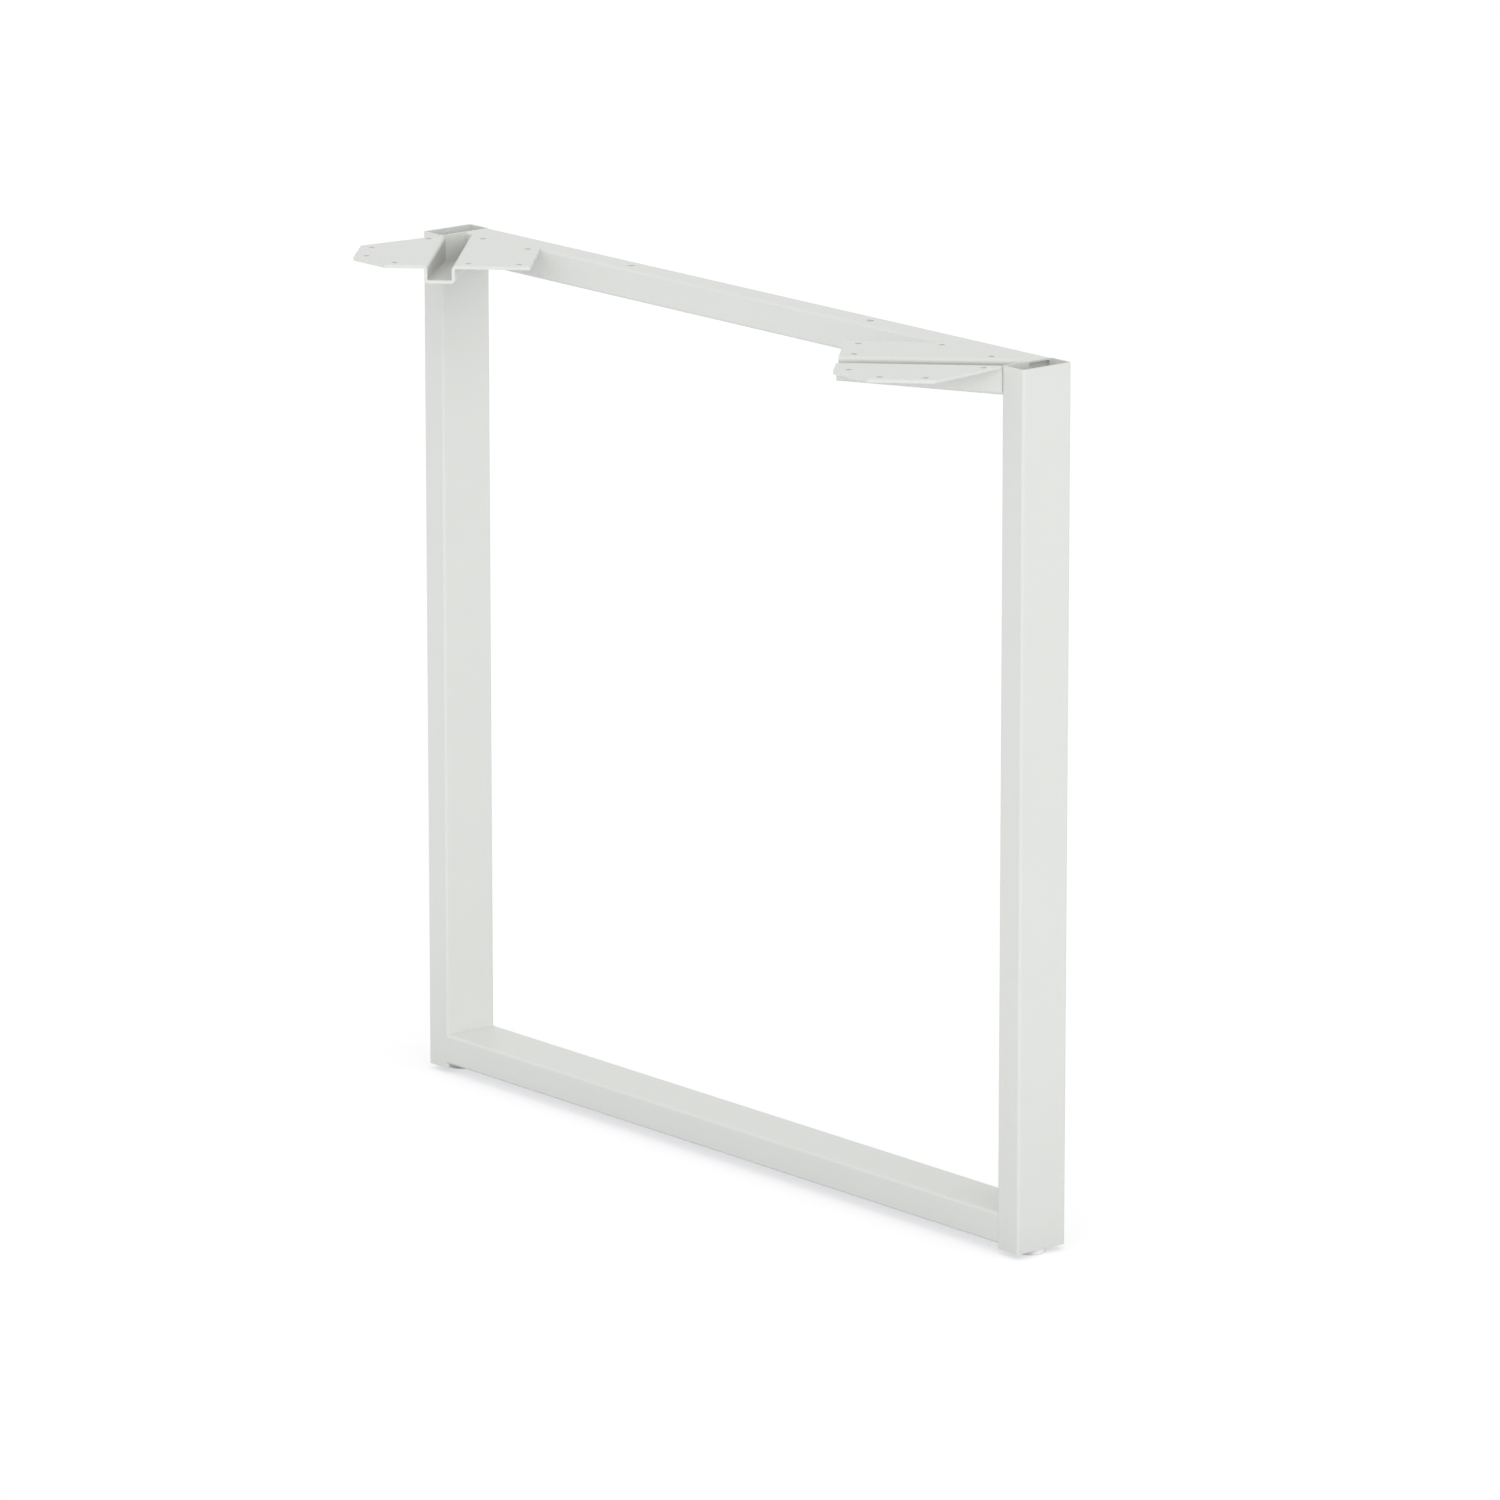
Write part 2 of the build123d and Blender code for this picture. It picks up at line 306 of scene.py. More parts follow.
def powder_coat(name, finish, paint, in_bore=False, in_channel=False):
    """Polyester powder, melted on to steel and cured to a satin skin.

    The eye gets one even pale grey, a broad soft sheen and a faint orange peel in the reflections. Deep in a
    fold or a hole its colour is darkened as painted shade, and inside an open tube it fades out and leaves
    bare mill steel.
    """
    material, tree, shader = new_material(name, IOR=1.5)
    # Uneven thickness of the coat, over about 60 mm, and what it does to the tint and the gloss
    cloud_width, tint, gloss = 60 * MM, 0.015, 0.04
    peel_strength, peel_height = 0.35, 0.02 * MM
    place = add_node(tree, "ShaderNodeTexCoord").outputs["Object"]
    peel = add_node(tree, "ShaderNodeTexNoise", {
        "Vector": place, "Scale": 1 / finish.peel_width, "Detail": 1.0, "Roughness": 0.4})
    cloud = add_node(tree, "ShaderNodeTexNoise", {"Vector": place, "Scale": 1 / cloud_width, "Detail": 3.0})
    colour = add_node(tree, "ShaderNodeMix", {
        0: cloud.outputs["Fac"], 6: shade(paint, 1 - tint), 7: shade(paint, 1 + tint)},
        data_type="RGBA").outputs[2]
    roughness = add_node(tree, "ShaderNodeMapRange", {
        "Value": cloud.outputs["Fac"], "To Min": finish.paint_roughness - gloss,
        "To Max": finish.paint_roughness + gloss}).outputs["Result"]
    if in_bore:
        bare = bare_in_bore(tree, place, finish.overspray)
        colour = add_node(tree, "ShaderNodeMix", {0: bare, 6: colour, 7: shade(finish.steel, 1.0)},
                          data_type="RGBA").outputs[2]
        tree.links.new(bare, shader.inputs["Metallic"])
    # Painted shade: the colour darkens deep in the bracket's channel
    if in_channel:
        painted_shade = painted_shade_in_channel(tree, place)
        colour = add_node(tree, "ShaderNodeMix", {0: painted_shade, 6: colour, 7: shade(finish.painted_shade_coat, 1.0)},
                          data_type="RGBA").outputs[2]
    bump = add_node(tree, "ShaderNodeBump", {
        "Height": peel.outputs["Fac"], "Strength": peel_strength, "Distance": peel_height})
    tree.links.new(colour, shader.inputs["Base Color"])
    tree.links.new(roughness, shader.inputs["Roughness"])
    tree.links.new(bump.outputs["Normal"], shader.inputs["Normal"])
    return material


def zinc_plate(name, finish):
    """Bright zinc on a cold-rolled steel stud: a cool grey metal, with small matt clouds from the bath."""
    material, tree, shader = new_material(name, Metallic=1.0)
    cloud_width = 4 * MM
    dull, bright = shade(finish.zinc, 0.85), shade(finish.zinc, 1.05)
    place = add_node(tree, "ShaderNodeTexCoord").outputs["Object"]
    cloud = add_node(tree, "ShaderNodeTexNoise", {"Vector": place, "Scale": 1 / cloud_width, "Detail": 4.0})
    colour = add_node(tree, "ShaderNodeMix", {0: cloud.outputs["Fac"], 6: dull, 7: bright}, data_type="RGBA")
    rough = add_node(tree, "ShaderNodeMapRange", {
        "Value": cloud.outputs["Fac"], "To Min": 0.24, "To Max": 0.42})
    tree.links.new(colour.outputs[2], shader.inputs["Base Color"])
    tree.links.new(rough.outputs["Result"], shader.inputs["Roughness"])
    return material


def moulded_plastic(name, colour, grain_width, roughness, **constants):
    """Injection-moulded plastic: an even colour under the fine spark grain that the mould leaves."""
    material, tree, shader = new_material(name, **constants)
    dark, light, gloss = shade(colour, 0.96), shade(colour, 1.03), 0.05
    grain_strength, grain_height = 0.4, 0.03 * MM
    place = add_node(tree, "ShaderNodeTexCoord").outputs["Object"]
    grain = add_node(tree, "ShaderNodeTexNoise", {"Vector": place, "Scale": 1 / grain_width, "Detail": 3.0})
    tint = add_node(tree, "ShaderNodeMix", {0: grain.outputs["Fac"], 6: dark, 7: light}, data_type="RGBA")
    rough = add_node(tree, "ShaderNodeMapRange", {
        "Value": grain.outputs["Fac"], "To Min": roughness - gloss, "To Max": roughness + gloss})
    bump = add_node(tree, "ShaderNodeBump", {
        "Height": grain.outputs["Fac"], "Strength": grain_strength, "Distance": grain_height})
    tree.links.new(tint.outputs[2], shader.inputs["Base Color"])
    tree.links.new(rough.outputs["Result"], shader.inputs["Roughness"])
    tree.links.new(bump.outputs["Normal"], shader.inputs["Normal"])
    return material


def coat_node(node, material):
    """Gives a CAD node its finish."""
    slots = frame["nodes"][node].data.materials
    slots.clear()
    slots.append(material)


def link_mesh(name, mesh):
    """A new object at the origin, with its place in its mesh."""
    piece = bpy.data.objects.new(name, mesh)
    bpy.context.scene.collection.objects.link(piece)
    return piece


def new_tree(name, sizes):
    """A Geometry Nodes tree with named inputs, and its input and output nodes."""
    tree = bpy.data.node_groups.new(name, "GeometryNodeTree")
    tree.interface.new_socket("Geometry", in_out="INPUT", socket_type="NodeSocketGeometry")
    tree.interface.new_socket("Geometry", in_out="OUTPUT", socket_type="NodeSocketGeometry")
    for size, kind in sizes:
        tree.interface.new_socket(size, in_out="INPUT", socket_type=kind)
    return tree, add_node(tree, "NodeGroupInput").outputs, add_node(tree, "NodeGroupOutput")


def end_tree(tree, out, geometry, finish):
    """Ends a tree with plain geometry in its finish."""
    real = add_node(tree, "GeometryNodeRealizeInstances", {"Geometry": geometry})
    done = add_node(tree, "GeometryNodeSetMaterial", {"Geometry": real.outputs[0], "Material": finish})
    tree.links.new(done.outputs[0], out.inputs["Geometry"])
    return tree


def grow(name, tree, mesh, sizes):
    """Runs a tree on a mesh and returns the result as a plain mesh object."""
    seed = link_mesh(name + "_path", mesh)
    modifier = seed.modifiers.new("grow", "NODES")
    modifier.node_group = tree
    for item in tree.interface.items_tree:
        if item.in_out == "INPUT" and item.name in sizes:
            modifier[item.identifier] = sizes[item.name]
    evaluated = seed.evaluated_get(bpy.context.evaluated_depsgraph_get())
    grown = bpy.data.meshes.new_from_object(evaluated)
    grown.name = name
    bpy.data.objects.remove(seed)
    if not grown.polygons:
        raise RuntimeError(f"{name} came out empty")
    return link_mesh(name, grown)


def bead_tree():
    """A bead of weld along every path, rippled along its length and rounded at its ends."""
    tree, given, out = new_tree("weld_bead", [
        ("Radius", "NodeSocketFloat"), ("Ripple Pitch", "NodeSocketFloat"),
        ("Ripple Depth", "NodeSocketFloat"), ("Finish", "NodeSocketMaterial")])
    points_per_ripple = 8.0
    # What keeps a bead's end from closing to a point
    blunt = 0.02
    path = add_node(tree, "GeometryNodeMeshToCurve", {"Mesh": given["Geometry"]})
    step = add_node(tree, "ShaderNodeMath", {0: given["Ripple Pitch"], 1: points_per_ripple},
                    operation="DIVIDE")
    fine = add_node(tree, "GeometryNodeResampleCurve", {"Curve": path.outputs[0], "Length": step.outputs[0]},
                    mode="LENGTH")
    along = add_node(tree, "GeometryNodeSplineParameter").outputs["Length"]
    whole = add_node(tree, "GeometryNodeSplineLength").outputs["Length"]
    # Ripples: the radius dips between two humps
    turn = add_node(tree, "ShaderNodeMath", {0: along, 1: given["Ripple Pitch"]}, operation="DIVIDE")
    angle = add_node(tree, "ShaderNodeMath", {0: turn.outputs[0], 1: math.pi}, operation="MULTIPLY")
    wave = add_node(tree, "ShaderNodeMath", {0: angle.outputs[0]}, operation="SINE")
    hump = add_node(tree, "ShaderNodeMath", {0: wave.outputs[0]}, operation="ABSOLUTE")
    dip = add_node(tree, "ShaderNodeMath", {0: 1.0, 1: hump.outputs[0]}, operation="SUBTRACT")
    loss = add_node(tree, "ShaderNodeMath", {0: dip.outputs[0], 1: given["Ripple Depth"]},
                    operation="MULTIPLY")
    body = add_node(tree, "ShaderNodeMath", {0: 1.0, 1: loss.outputs[0]}, operation="SUBTRACT")
    # Ends: a quarter circle over the last radius of the path
    rest = add_node(tree, "ShaderNodeMath", {0: whole, 1: along}, operation="SUBTRACT")
    near = add_node(tree, "ShaderNodeMath", {0: along, 1: rest.outputs[0]}, operation="MINIMUM")
    share = add_node(tree, "ShaderNodeMath", {0: near.outputs[0], 1: given["Radius"]}, operation="DIVIDE",
                     use_clamp=True)
    short = add_node(tree, "ShaderNodeMath", {0: 1.0, 1: share.outputs[0]}, operation="SUBTRACT")
    square = add_node(tree, "ShaderNodeMath", {0: short.outputs[0], 1: 2.0}, operation="POWER")
    left = add_node(tree, "ShaderNodeMath", {0: 1.0 + blunt, 1: square.outputs[0]}, operation="SUBTRACT")
    taper = add_node(tree, "ShaderNodeMath", {0: left.outputs[0]}, operation="SQRT")
    scale = add_node(tree, "ShaderNodeMath", {0: body.outputs[0], 1: taper.outputs[0]}, operation="MULTIPLY")
    sized = add_node(tree, "GeometryNodeSetCurveRadius", {
        "Curve": fine.outputs[0], "Radius": scale.outputs[0]})
    ring = add_node(tree, "GeometryNodeCurvePrimitiveCircle", {"Resolution": 14, "Radius": given["Radius"]})
    solid = add_node(tree, "GeometryNodeCurveToMesh", {
        "Curve": sized.outputs[0], "Profile Curve": ring.outputs[0], "Fill Caps": True})
    smooth = add_node(tree, "GeometryNodeSetShadeSmooth", {"Geometry": solid.outputs[0]})
    return end_tree(tree, out, smooth.outputs[0], given["Finish"])


def shade_ring_tree():
    """A ring of painted shade, closed and narrow, round the wall of the hole at every point."""
    tree, given, out = new_tree("hole_shade_ring", [
        ("Radius", "NodeSocketFloat"), ("Thickness", "NodeSocketFloat"), ("Depth", "NodeSocketFloat"),
        ("Finish", "NodeSocketMaterial")])
    ring = add_node(tree, "GeometryNodeCurvePrimitiveCircle", {"Resolution": 32, "Radius": given["Radius"]})
    upright = add_node(tree, "GeometryNodeSetCurveNormal", {"Curve": ring.outputs[0]}, mode="Z_UP")
    # Half of the section is sunk in the wall
    section = add_node(tree, "ShaderNodeMath", {0: given["Thickness"], 1: 2.0}, operation="MULTIPLY")
    wall = add_node(tree, "GeometryNodeCurvePrimitiveQuadrilateral", {
        "Width": section.outputs[0], "Height": given["Depth"]})
    shade_ring = add_node(tree, "GeometryNodeCurveToMesh", {
        "Curve": upright.outputs[0], "Profile Curve": wall.outputs[0]})
    flat = add_node(tree, "GeometryNodeSetShadeSmooth", {
        "Geometry": shade_ring.outputs[0], "Shade Smooth": False})
    every = add_node(tree, "GeometryNodeInstanceOnPoints", {
        "Points": given["Geometry"], "Instance": flat.outputs[0]})
    return end_tree(tree, out, every.outputs[0], given["Finish"])


def stud_tree():
    """A stud with a rolled thread and a chamfered tip, from z = 0 up, and the hexagon head under it."""
    tree, given, out = new_tree("threaded_stud", [
        ("Radius", "NodeSocketFloat"), ("Length", "NodeSocketFloat"), ("Pitch", "NodeSocketFloat"),
        ("Depth", "NodeSocketFloat"), ("Tip Chamfer", "NodeSocketFloat"), ("Head Radius", "NodeSocketFloat"),
        ("Head Height", "NodeSocketFloat"), ("Place", "NodeSocketVector"), ("Finish", "NodeSocketMaterial")])
    rows_per_pitch = 10.0
    # Where the flat crest ends and the flat root starts, in pitches from the middle of the ridge
    crest, root = 0.08, 0.40
    turns = add_node(tree, "ShaderNodeMath", {0: given["Length"], 1: given["Pitch"]}, operation="DIVIDE")
    rows = add_node(tree, "ShaderNodeMath", {0: turns.outputs[0], 1: rows_per_pitch}, operation="MULTIPLY")
    shank = add_node(tree, "GeometryNodeMeshCylinder", {
        "Vertices": 36, "Side Segments": rows.outputs[0], "Radius": 1.0, "Depth": given["Length"]})
    half = add_node(tree, "ShaderNodeMath", {0: given["Length"], 1: 2.0}, operation="DIVIDE")
    place = add_node(tree, "GeometryNodeInputPosition").outputs[0]
    x, y, z = add_node(tree, "ShaderNodeSeparateXYZ", {"Vector": place}).outputs
    # Thread: the place within a pitch gives a ridge with a flat crest and a flat root
    angle = add_node(tree, "ShaderNodeMath", {0: y, 1: x}, operation="ARCTAN2")
    turn = add_node(tree, "ShaderNodeMath", {0: angle.outputs[0], 1: math.tau}, operation="DIVIDE")
    rise = add_node(tree, "ShaderNodeMath", {0: z, 1: given["Pitch"]}, operation="DIVIDE")
    count = add_node(tree, "ShaderNodeMath", {0: rise.outputs[0], 1: turn.outputs[0]}, operation="SUBTRACT")
    part = add_node(tree, "ShaderNodeMath", {0: count.outputs[0]}, operation="FRACT")
    middle = add_node(tree, "ShaderNodeMath", {0: part.outputs[0], 1: 0.5}, operation="SUBTRACT")
    off = add_node(tree, "ShaderNodeMath", {0: middle.outputs[0]}, operation="ABSOLUTE")
    drop = add_node(tree, "ShaderNodeMapRange", {
        "Value": off.outputs[0], "From Min": crest, "From Max": root, "To Min": 0.0,
        "To Max": given["Depth"]})
    thread = add_node(tree, "ShaderNodeMath", {0: given["Radius"], 1: drop.outputs["Result"]},
                      operation="SUBTRACT")
    # Tip: a cone that takes the chamfer off the last turns
    room = add_node(tree, "ShaderNodeMath", {0: half.outputs[0], 1: z}, operation="SUBTRACT")
    cone = add_node(tree, "ShaderNodeMath", {0: room.outputs[0], 1: given["Radius"]}, operation="ADD")
    limit = add_node(tree, "ShaderNodeMath", {0: cone.outputs[0], 1: given["Tip Chamfer"]},
                     operation="SUBTRACT")
    radius = add_node(tree, "ShaderNodeMath", {0: thread.outputs[0], 1: limit.outputs[0]},
                      operation="MINIMUM")
    flat = add_node(tree, "ShaderNodeVectorMath", {0: place, 1: (1.0, 1.0, 0.0)}, operation="MULTIPLY")
    wide = add_node(tree, "ShaderNodeVectorMath", {0: flat.outputs[0], "Scale": radius.outputs[0]},
                    operation="SCALE")
    height = add_node(tree, "ShaderNodeMath", {0: z, 1: half.outputs[0]}, operation="ADD")
    level = add_node(tree, "ShaderNodeCombineXYZ", {"Z": height.outputs[0]})
    moved = add_node(tree, "ShaderNodeVectorMath", {0: wide.outputs[0], 1: level.outputs[0]}, operation="ADD")
    cut = add_node(tree, "GeometryNodeSetPosition", {
        "Geometry": shank.outputs["Mesh"], "Position": moved.outputs[0]})
    rolled = add_node(tree, "GeometryNodeSetShadeSmooth", {"Geometry": cut.outputs[0]})
    head = add_node(tree, "GeometryNodeMeshCylinder", {
        "Vertices": 6, "Radius": given["Head Radius"], "Depth": given["Head Height"]})
    sunk = add_node(tree, "ShaderNodeMath", {0: given["Head Height"], 1: -0.5}, operation="MULTIPLY")
    down = add_node(tree, "ShaderNodeCombineXYZ", {"Z": sunk.outputs[0]})
    under = add_node(tree, "GeometryNodeTransform", {
        "Geometry": head.outputs["Mesh"], "Translation": down.outputs[0]})
    flats = add_node(tree, "GeometryNodeSetShadeSmooth", {
        "Geometry": under.outputs[0], "Shade Smooth": False})
    both = add_node(tree, "GeometryNodeJoinGeometry")
    for half_stud in (rolled, flats):
        tree.links.new(half_stud.outputs[0], both.inputs[0])
    put = add_node(tree, "GeometryNodeTransform", {
        "Geometry": both.outputs[0], "Translation": given["Place"]})
    return end_tree(tree, out, put.outputs[0], given["Finish"])


def path_mesh(name, paths):
    """Separate straight paths as the edges of a mesh."""
    mesh = bpy.data.meshes.new(name)
    points = [point for path in paths for point in path]
    mesh.from_pydata(points, [(i, i + 1) for i in range(0, len(points), 2)], [])
    return mesh


def both_sides(paths):
    """Paths of the right half, and their mirror images on the left."""
    return [[(side * x, y, z) for x, y, z in path] for side in (1, -1) for path in paths]


def turned(name, profile, centre, steps):
    """A closed piece turned about an upright axis, from a profile of radius and height that ends on it."""
    shape = bmesh.new()
    corners = [shape.verts.new((radius, 0.0, height)) for radius, height in profile]
    edges = [shape.edges.new(pair) for pair in zip(corners, corners[1:])]
    bmesh.ops.spin(shape, geom=corners + edges, cent=(0, 0, 0), axis=(0, 0, 1), angle=math.tau, steps=steps)
    bmesh.ops.remove_doubles(shape, verts=shape.verts, dist=0.001 * MM)
    bmesh.ops.recalc_face_normals(shape, faces=shape.faces)
    bmesh.ops.translate(shape, verts=shape.verts, vec=centre)
    mesh = bpy.data.meshes.new(name)
    shape.to_mesh(mesh)
    shape.free()
    mesh.shade_smooth()
    mesh.set_sharp_from_angle(angle=math.radians(35))
    return link_mesh(name, mesh)


def arc(centre, radius, start, end, steps=6):
    """Points of a profile's rounded corner, from one angle in degrees to another."""
    angles = (math.radians(start + (end - start) * i / steps) for i in range(steps + 1))
    return [(centre[0] + radius * math.cos(a), centre[1] + radius * math.sin(a)) for a in angles]


class DESKLEG_OT_tubes(bpy.types.Operator):
    """Powder coats the uprights and the rails, and leaves the uprights' bores bare further down"""

    bl_idname = "desk_leg.tubes"
    bl_label = "Coat the Tubes"

    def execute(self, context):
        finish = context.scene.leg_finish
        open_tube = powder_coat("satin_powder_coat_open_tube", finish, finish.paint, in_bore=True)
        for node in ("left_upright", "right_upright"):
            coat_node(node, open_tube)
        closed_tube = powder_coat("satin_powder_coat", finish, finish.paint)
        for node in ("top_rail", "bottom_rail"):
            coat_node(node, closed_tube)
        return {"FINISHED"}


class DESKLEG_OT_brackets(bpy.types.Operator):
    """Powder coats the two folded corner brackets, with painted shade deep in their channels and screw holes
    """

    bl_idname = "desk_leg.brackets"
    bl_label = "Coat the Brackets"

    def execute(self, context):
        finish, details = context.scene.leg_finish, context.scene.leg_details
        folded = powder_coat("satin_powder_coat_folded_sheet", finish, finish.paint, in_channel=True)
        for node in ("left_bracket", "right_bracket"):
            coat_node(node, folded)
        holes = []
        for mount in frame["record"]["mounts"]:
            if mount["name"].startswith("bracket_"):
                (x, y, z), dims = mount["pos_m"], mount["dims"]
                radius = dims["hole_r_mm"] * MM
                half_x, half_y = dims["spacing_x_mm"] / 2 * MM, dims.get("spacing_y_mm", 0.0) / 2 * MM
                holes += [(x + side * half_x, row, z - SHEET / 2)
                          for side in (-1, 1) for row in sorted({y - half_y, y + half_y})]
        points = bpy.data.meshes.new("hole_points")
        points.from_pydata(holes, [], [])
        # Painted shade: darker rings round the walls of the screw holes
        piece = grow("hole_shade_rings", shade_ring_tree(), points, {
            "Radius": radius, "Thickness": details.shade_ring, "Depth": SHEET - 2 * details.shade_ring,
            "Finish": powder_coat("painted_shade_powder_coat", finish, finish.painted_shade_coat)})
        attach(piece, "frame")
        return {"FINISHED"}


class DESKLEG_OT_welds(bpy.types.Operator):
    """Lays the weld beads under the brackets and rails, and the welded seam inside each upright"""

    bl_idname = "desk_leg.welds"
    bl_label = "Weld the Frame"

    def execute(self, context):
        details = context.scene.leg_details
        rail_front, rail_under = top_rail_low.y, top_rail_low.z
        tree = bead_tree()
        beads = both_sides([
            # Under the bracket's flange, along the front of the top rail
            [(x, rail_front, -SHEET) for x in FLANGE_WELD],
            # Under the channel's floor, across the upright
            [(inner_x, y, z) for y, z in zip(CHANNEL_WELD, CHANNEL_UNDER)],
            # Under the top rail, across the upright
            [(inner_x, y, rail_under) for y in RAIL_WELD],
            # Under the bottom rail, across the upright
            [(inner_x, y, bottom_rail_low.z) for y in FOOT_WELD],
        ])
        piece = grow("weld_beads", tree, path_mesh("weld_lines", beads), {
            "Radius": details.bead_radius, "Ripple Pitch": details.ripple_pitch,
            "Ripple Depth": details.ripple_depth, "Finish": bpy.data.materials["satin_powder_coat"]})
        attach(piece, "frame")
        # The tube's own seam, on the inside of the upright's outer wall
        seam_x = upright_high.x - TUBE_WALL
        seams = both_sides([[(seam_x, upright_y, z) for z in (SEAM_TOP, foot_z + SEAM_OVER_FOOT)]])
        piece = grow("tube_seams", tree, path_mesh("seam_lines", seams), {
            "Radius": details.seam_radius, "Ripple Pitch": SEAM_PITCH, "Ripple Depth": SEAM_WAVE,
            "Finish": bpy.data.materials["satin_powder_coat_open_tube"]})
        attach(piece, "frame")
        return {"FINISHED"}


class DESKLEG_OT_glides(bpy.types.Operator):
    """Makes the levelling glides: plug, threaded stud and rounded base, at both feet"""

    bl_idname = "desk_leg.glides"
    bl_label = "Fit the Glides"

    def execute(self, context):
        finish, details = context.scene.leg_finish, context.scene.leg_details
        # Grain of about 0.3 mm in the mould, drawn at 0.8 mm so that it shows
        grain = 0.8 * MM
        black = moulded_plastic("moulded_black_polypropylene", finish.plug, grain, roughness=0.5, IOR=1.49)
        white = moulded_plastic("moulded_white_nylon", finish.base, grain, roughness=0.42, IOR=1.53)
        zinc = zinc_plate("zinc_plated_steel", finish)
        tree = stud_tree()
        # Base, from its hollowed underside round the rim and the stud's hole to the pocket for the head
        top, rim = base_high.z - floor_z, base_high.x - upright_x
        edge = details.base_edge
        head_top, head_radius = top - HEAD_COVER, HEAD_ACROSS_FLATS / math.sqrt(3)
        profile = [
            (0.0, HOLLOW_DEPTH), (rim * HOLLOW_FLAT, HOLLOW_DEPTH), (rim * HOLLOW_EDGE, 0.0),
            *arc((rim - edge, edge), edge, -90, 0),
            *arc((rim - BASE_LIP, top - BASE_LIP), BASE_LIP, 0, 90),
            (STUD_RADIUS, top), (STUD_RADIUS, head_top), (head_radius, head_top),
            (head_radius, head_top - HEAD_HEIGHT), (0.0, head_top - HEAD_HEIGHT),
        ]
        for side, x in (("left", -upright_x), ("right", upright_x)):
            coat_node(f"{side}_glide_insert", black)
            stud = grow(f"{side}_stud", tree, bpy.data.meshes.new("empty"), {
                "Radius": STUD_RADIUS, "Length": stud_high.z - foot_z + HEAD_COVER,
                "Pitch": details.thread_pitch, "Depth": details.thread_depth, "Tip Chamfer": TIP_CHAMFER,
                "Head Radius": head_radius, "Head Height": HEAD_HEIGHT,
                "Place": (x, upright_y, foot_z - HEAD_COVER), "Finish": zinc})
            base = turned(f"{side}_base", profile, Vector((x, upright_y, floor_z)), steps=64)
            base.data.materials.append(white)
            for piece, node, slot in ((stud, "stud", "stud_steel"), (base, "base", "base_nylon")):
                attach(piece, f"{side}_glide")
                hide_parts(f"{side}_glide_{node}")
        return {"FINISHED"}


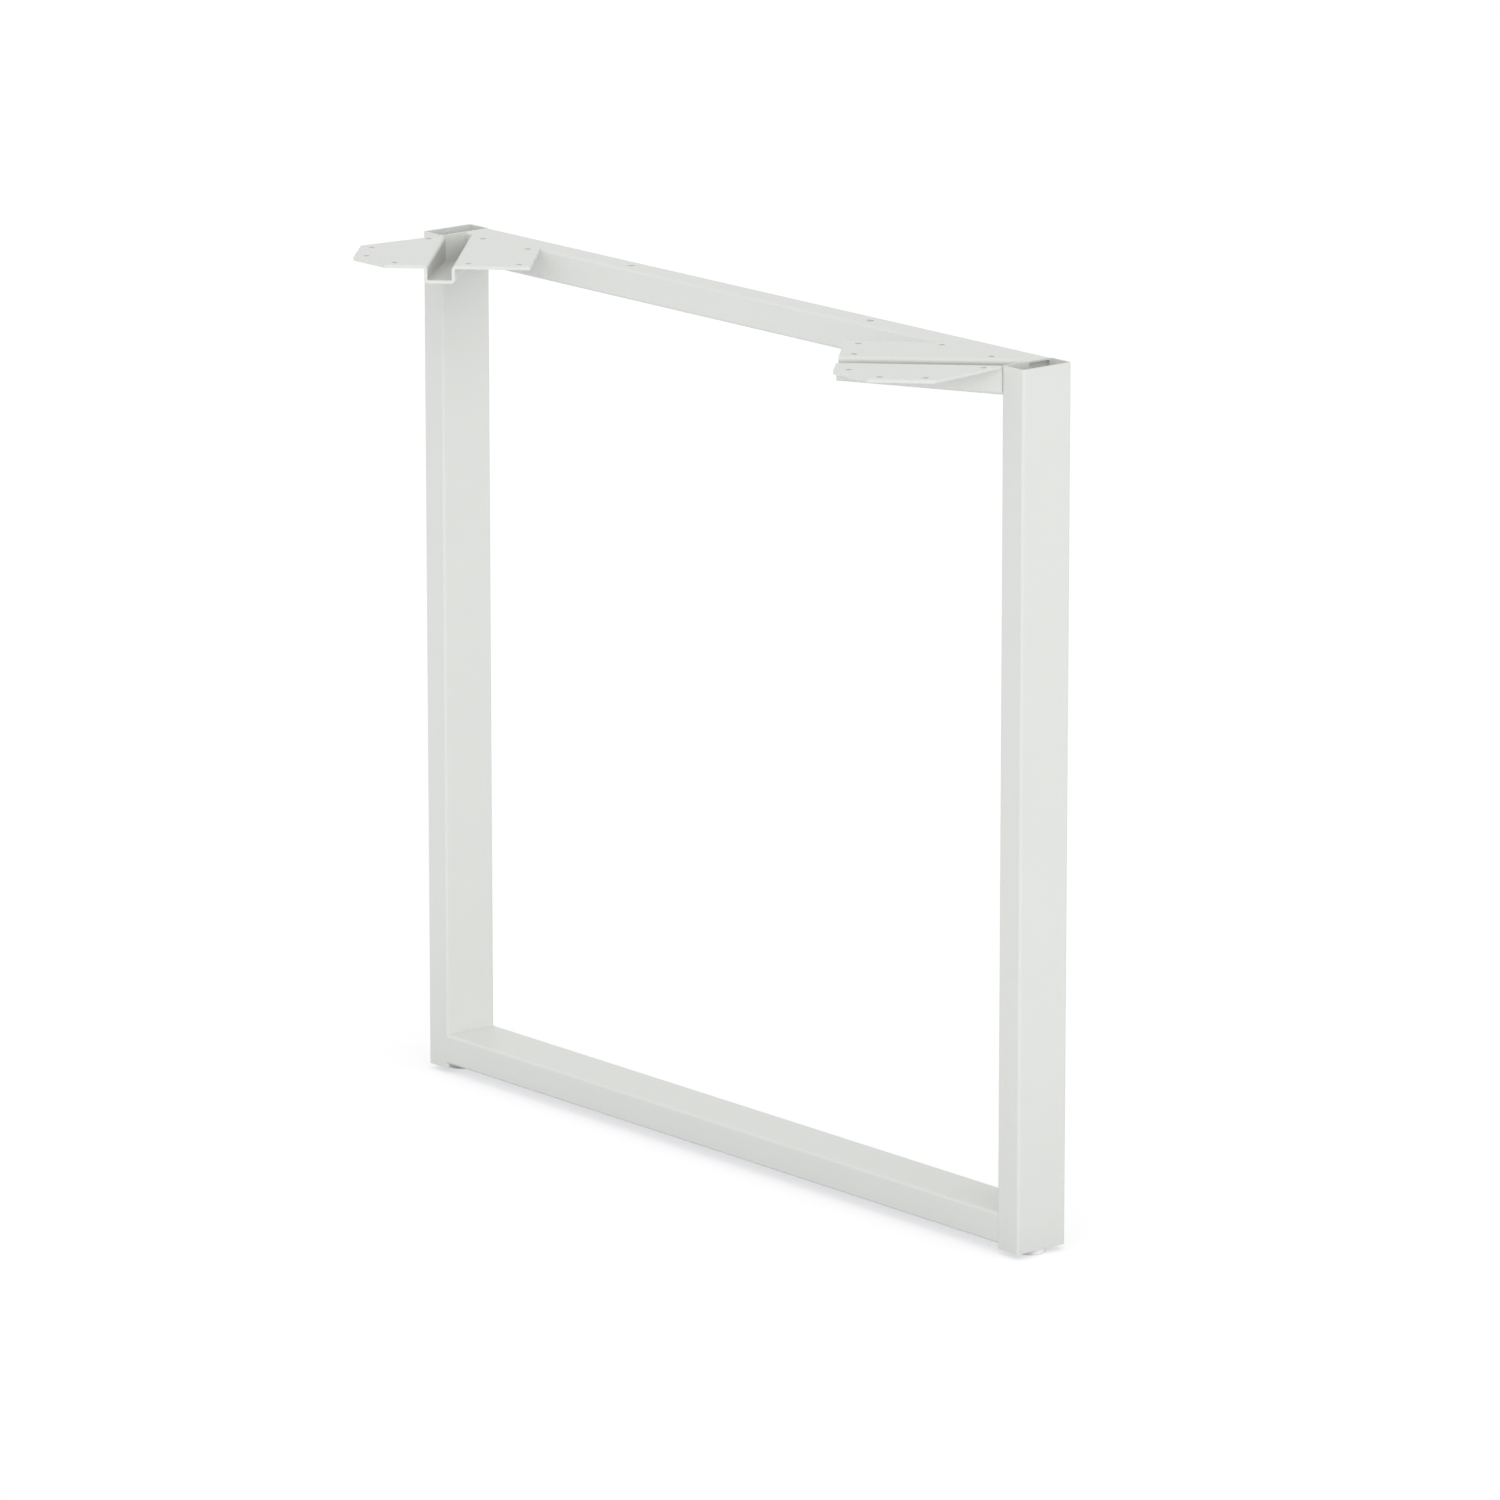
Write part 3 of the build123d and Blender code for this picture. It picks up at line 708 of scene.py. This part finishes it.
class DESKLEG_OT_stage(bpy.types.Operator):
    """Sets the floor, the white surround with its soft light, and the camera"""

    bl_idname = "desk_leg.stage"
    bl_label = "Set the Stage"

    def execute(self, context):
        scene, stage = context.scene, context.scene.leg_stage
        scene.view_settings.view_transform = "Standard"
        # Share of full light on the open floor, which the glow brings up to white
        floor_light = 0.85
        # How far below the horizon the light takes to fall
        horizon = 0.1

        def seen_directly(tree):
            """1 for rays that show the surround itself, in the picture or in a reflection, and 0 for light"""
            rays = add_node(tree, "ShaderNodeLightPath").outputs
            seen = rays["Is Camera Ray"]
            for other in ("Is Glossy Ray", "Is Transmission Ray"):
                seen = add_node(tree, "ShaderNodeMath", {0: seen, 1: rays[other]},
                                operation="MAXIMUM").outputs[0]
            return seen

        # Floor: matt and pale, white where it is seen out of the leg's shadow, and open from below
        half = stage.floor_size / 2
        mesh = bpy.data.meshes.new("floor")
        mesh.from_pydata([(x * half, y * half, floor_z) for x, y in ((-1, -1), (1, -1), (1, 1), (-1, 1))], [],
                         [(0, 1, 2, 3)])
        floor = link_mesh("floor", mesh)
        material = bpy.data.materials.new("matt_studio_floor")
        material.use_nodes = True
        tree = material.node_tree
        tree.nodes.clear()
        place = add_node(tree, "ShaderNodeTexCoord").outputs["Object"]
        line = add_node(tree, "ShaderNodeVectorMath", {
            0: place, 1: (-upright_x, upright_y, floor_z)}, operation="MAXIMUM")
        line = add_node(tree, "ShaderNodeVectorMath", {
            0: line.outputs[0], 1: (upright_x, upright_y, floor_z)}, operation="MINIMUM")
        away = add_node(tree, "ShaderNodeVectorMath", {0: place, 1: line.outputs[0]}, operation="DISTANCE")
        # Painted shade: the floor that lights the leg is darker round the feet
        near = add_node(tree, "ShaderNodeMapRange", {
            "Value": away.outputs["Value"], "From Min": stage.floor_spread, "From Max": 0.0})
        tone = add_node(tree, "ShaderNodeMix", {
            0: near.outputs["Result"], 6: shade(stage.floor, 1.0), 7: shade(stage.floor_painted_shade, 1.0)},
            data_type="RGBA")
        matt = add_node(tree, "ShaderNodeBsdfDiffuse", {"Color": tone.outputs[2]})
        grey = add_node(tree, "ShaderNodeBsdfDiffuse", {"Color": (*stage.shadow_depth, 1.0)})
        glow = add_node(tree, "ShaderNodeEmission", {
            "Color": (*(1 - floor_light * depth for depth in stage.shadow_depth), 1.0)})
        white = add_node(tree, "ShaderNodeAddShader", {0: grey.outputs[0], 1: glow.outputs[0]})
        top = add_node(tree, "ShaderNodeMixShader", {
            0: seen_directly(tree), 1: matt.outputs[0], 2: white.outputs[0]})
        below = add_node(tree, "ShaderNodeBsdfTransparent")
        back = add_node(tree, "ShaderNodeNewGeometry").outputs["Backfacing"]
        mix = add_node(tree, "ShaderNodeMixShader", {0: back, 1: top.outputs[0], 2: below.outputs[0]})
        add_node(tree, "ShaderNodeOutputMaterial", {"Surface": mix.outputs[0]})
        floor.data.materials.append(material)

        # Surround: even light with a broad soft light on the camera's side, and plain white where it is seen
        world = bpy.data.worlds.new("white_surround")
        world.use_nodes = True
        tree = world.node_tree
        tree.nodes.clear()
        way = add_node(tree, "ShaderNodeTexCoord").outputs["Generated"]
        azimuth = stage.soft_azimuth
        facing = add_node(tree, "ShaderNodeVectorMath", {
            0: way, 1: (math.sin(azimuth), -math.cos(azimuth), 0.0)}, operation="DOT_PRODUCT")
        lit = add_node(tree, "ShaderNodeMath", {0: facing.outputs["Value"], 1: 0.0}, operation="MAXIMUM")
        level = add_node(tree, "ShaderNodeMath", {
            0: lit.outputs[0], 1: stage.soft_light, 2: stage.room_light}, operation="MULTIPLY_ADD")
        height = add_node(tree, "ShaderNodeSeparateXYZ", {"Vector": way}).outputs["Z"]
        share = add_node(tree, "ShaderNodeMapRange", {
            "Value": height, "From Min": -horizon, "From Max": 0.0, "To Min": stage.under_light})
        strength = add_node(tree, "ShaderNodeMath", {
            0: level.outputs[0], 1: share.outputs["Result"]}, operation="MULTIPLY")
        light = add_node(tree, "ShaderNodeBackground", {
            "Color": (1.0, 1.0, 1.0, 1.0), "Strength": strength.outputs[0]})
        white = add_node(tree, "ShaderNodeBackground", {"Color": (1.0, 1.0, 1.0, 1.0), "Strength": 1.0})
        mix = add_node(tree, "ShaderNodeMixShader", {
            0: seen_directly(tree), 1: light.outputs[0], 2: white.outputs[0]})
        add_node(tree, "ShaderNodeOutputWorld", {"Surface": mix.outputs[0]})
        scene.world = world

        camera = bpy.data.objects.new("camera", bpy.data.cameras.new("camera"))
        camera.data.sensor_width, camera.data.lens = SENSOR_WIDTH, stage.camera_lens
        across = math.cos(stage.camera_elevation)
        back = Vector((math.sin(stage.camera_azimuth) * across, -math.cos(stage.camera_azimuth) * across,
                       math.sin(stage.camera_elevation)))
        camera.location = Vector(stage.camera_aim) + back * stage.camera_distance
        camera.rotation_euler = (-back).to_track_quat("-Z", "Y").to_euler()
        scene.collection.objects.link(camera)
        scene.camera = camera
        return {"FINISHED"}


class DESKLEG_PT_panel(bpy.types.Panel):
    """Lists the steps that finish the leg, and their sizes and colours"""

    bl_idname = "DESKLEG_PT_panel"
    bl_label = "O-Shaped Desk Leg"
    bl_space_type = "VIEW_3D"
    bl_region_type = "UI"
    bl_category = "Desk Leg"

    def draw(self, context):
        for step in STEPS:
            self.layout.operator(step.bl_idname)
        for group in (context.scene.leg_finish, context.scene.leg_details, context.scene.leg_stage):
            box = self.layout.box()
            for name in group.__annotations__:
                box.prop(group, name)


GROUPS = {"leg_finish": LegFinish, "leg_details": LegDetails, "leg_stage": LegStage}
STEPS = (DESKLEG_OT_tubes, DESKLEG_OT_brackets, DESKLEG_OT_welds, DESKLEG_OT_glides, DESKLEG_OT_stage)
CLASSES = (*GROUPS.values(), *STEPS, DESKLEG_PT_panel)


def register():
    for item in CLASSES:
        bpy.utils.register_class(item)
    for name, group in GROUPS.items():
        setattr(bpy.types.Scene, name, PointerProperty(type=group))


def unregister():
    for name in GROUPS:
        delattr(bpy.types.Scene, name)
    for item in reversed(CLASSES):
        bpy.utils.unregister_class(item)


def main():
    register()
    bpy.ops.desk_leg.tubes()
    bpy.ops.desk_leg.brackets()
    bpy.ops.desk_leg.welds()
    bpy.ops.desk_leg.glides()
    bpy.ops.desk_leg.stage()


if __name__ == "__main__":
    main()
